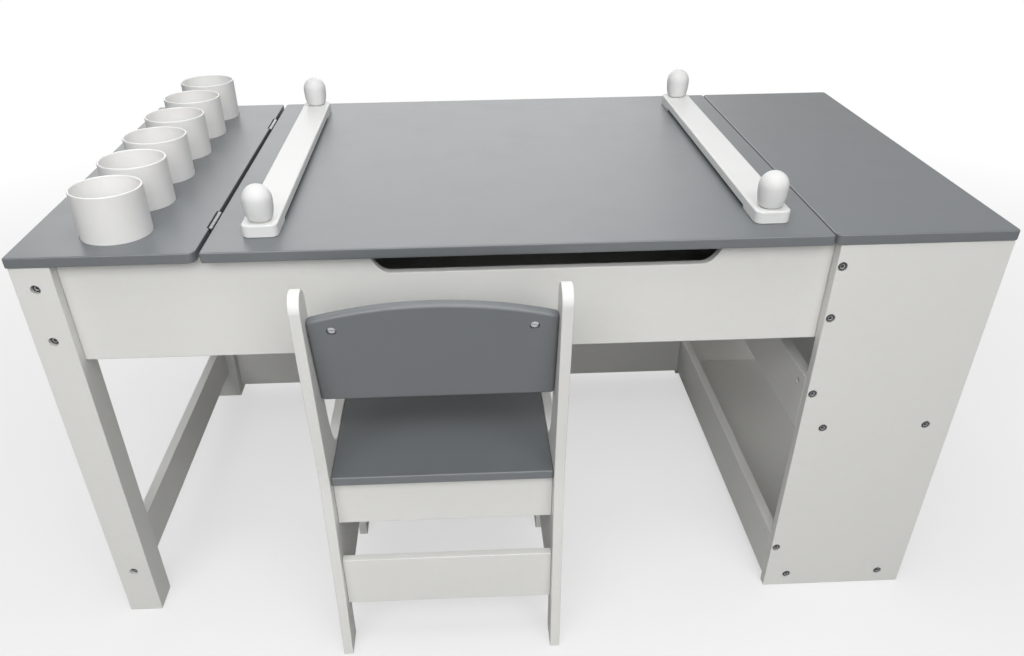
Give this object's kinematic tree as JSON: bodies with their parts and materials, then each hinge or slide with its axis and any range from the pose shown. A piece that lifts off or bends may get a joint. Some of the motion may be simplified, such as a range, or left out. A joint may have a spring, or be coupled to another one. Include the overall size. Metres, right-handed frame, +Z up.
{
  "type": "kids activity desk",
  "caption": "Children's activity desk with a flip-up lid over a storage box, paper rails held by knobs, a row of cups, an open side cabinet and a matching chair.",
  "frame": {"origin": "on the floor, under the middle of the box around desk and chair together", "axes": "+X along the desk from the cups to the cabinet, +Y from the chair to the back of the desk, +Z up"},
  "size_m": [1.203, 0.785, 0.6336],
  "materials": {
    "grey_paint": "fibreboard with satin grey paint",
    "white_paint": "fibreboard with satin white paint",
    "rail_paint": "wood with gloss white paint",
    "cup_plastic": "gloss white",
    "dark_zinc_steel": "dark zinc",
    "bright_steel": "bright zinc"
  },
  "bodies": {
    "desk": {"cup_panel": "grey_paint", "right_top_panel": "grey_paint", "post_front_left": "white_paint", "post_back_left": "white_paint", "side_apron": "white_paint", "front_apron": "white_paint", "back_apron": "white_paint", "storage_floor": "white_paint", "box_right_wall": "white_paint", "left_stretcher": "white_paint", "back_stretcher": "white_paint", "cabinet_front_panel": "white_paint", "cabinet_back_panel": "white_paint", "mid_rail": "white_paint", "bottom_rail": "white_paint", "mid_shelf": "white_paint", "bottom_shelf": "white_paint", "hinge_leaf_fixed_front": "bright_steel", "hinge_leaf_fixed_back": "bright_steel", "hinge_pin_front": "bright_steel", "hinge_pin_back": "bright_steel", "post_bolt_upper": "dark_zinc_steel", "post_bolt_middle": "dark_zinc_steel", "post_bolt_lower": "dark_zinc_steel", "panel_bolt_wall_upper": "dark_zinc_steel", "panel_bolt_wall_lower": "dark_zinc_steel", "panel_bolt_mid_rail": "dark_zinc_steel", "panel_bolt_mid_shelf_left": "dark_zinc_steel", "panel_bolt_mid_shelf_right": "dark_zinc_steel", "panel_bolt_bottom_rail": "dark_zinc_steel", "panel_bolt_bottom_shelf_left": "dark_zinc_steel", "panel_bolt_bottom_shelf_right": "dark_zinc_steel"},
    "lid": {"lid_panel": "grey_paint", "hinge_leaf_lid_front": "bright_steel", "hinge_leaf_lid_back": "bright_steel"},
    "rail_left": {"paper_rail_left": "rail_paint"},
    "rail_right": {"paper_rail_right": "rail_paint"},
    "knob_lf": {"knob_left_front": "rail_paint"},
    "knob_lb": {"knob_left_back": "rail_paint"},
    "knob_rf": {"knob_right_front": "rail_paint"},
    "knob_rb": {"knob_right_back": "rail_paint"},
    "cup_1_body": {"cup_1": "cup_plastic"},
    "cup_2_body": {"cup_2": "cup_plastic"},
    "cup_3_body": {"cup_3": "cup_plastic"},
    "cup_4_body": {"cup_4": "cup_plastic"},
    "cup_5_body": {"cup_5": "cup_plastic"},
    "cup_6_body": {"cup_6": "cup_plastic"},
    "chair": {"chair_side_left": "white_paint", "chair_side_right": "white_paint", "chair_seat": "grey_paint", "chair_backrest": "grey_paint", "chair_rear_apron": "white_paint", "chair_front_apron": "white_paint", "chair_stretcher": "white_paint", "backrest_nut_left": "bright_steel", "backrest_nut_right": "bright_steel"}
  },
  "joints": [
    {"name": "lid_hinge", "type": "hinge", "parent": "desk", "child": "lid", "pos_m": [-0.38, 0.053, 0.5715], "axis": [0, -1, 0], "range_deg": [0, 90]},
    {"name": "rail_left_lift", "type": "slide", "parent": "lid", "child": "rail_left", "axis": [0, 0, 1], "range_m": [0, 0.004]},
    {"name": "rail_right_lift", "type": "slide", "parent": "lid", "child": "rail_right", "axis": [0, 0, 1], "range_m": [0, 0.004]},
    {"name": "knob_lf_turn", "type": "hinge", "parent": "rail_left", "child": "knob_lf", "pos_m": [-0.3112, -0.2245, 0.5906], "axis": [0, 0, 1], "continuous": true},
    {"name": "knob_lb_turn", "type": "hinge", "parent": "rail_left", "child": "knob_lb", "pos_m": [-0.3112, 0.3235, 0.5906], "axis": [0, 0, 1], "continuous": true},
    {"name": "knob_rf_turn", "type": "hinge", "parent": "rail_right", "child": "knob_rf", "pos_m": [0.3129, -0.2245, 0.5906], "axis": [0, 0, 1], "continuous": true},
    {"name": "knob_rb_turn", "type": "hinge", "parent": "rail_right", "child": "knob_rb", "pos_m": [0.3129, 0.3235, 0.5906], "axis": [0, 0, 1], "continuous": true},
    {"name": "cup_1_lift", "type": "slide", "parent": "desk", "child": "cup_1_body", "axis": [0, 0, 1], "range_m": [0, 0.08]},
    {"name": "cup_2_lift", "type": "slide", "parent": "desk", "child": "cup_2_body", "axis": [0, 0, 1], "range_m": [0, 0.08]},
    {"name": "cup_3_lift", "type": "slide", "parent": "desk", "child": "cup_3_body", "axis": [0, 0, 1], "range_m": [0, 0.08]},
    {"name": "cup_4_lift", "type": "slide", "parent": "desk", "child": "cup_4_body", "axis": [0, 0, 1], "range_m": [0, 0.08]},
    {"name": "cup_5_lift", "type": "slide", "parent": "desk", "child": "cup_5_body", "axis": [0, 0, 1], "range_m": [0, 0.08]},
    {"name": "cup_6_lift", "type": "slide", "parent": "desk", "child": "cup_6_body", "axis": [0, 0, 1], "range_m": [0, 0.08]},
    {"name": "chair_pull_out", "type": "slide", "parent": "desk", "child": "chair", "axis": [0, -1, 0], "range_m": [-0.05, 0.45]}
  ]
}
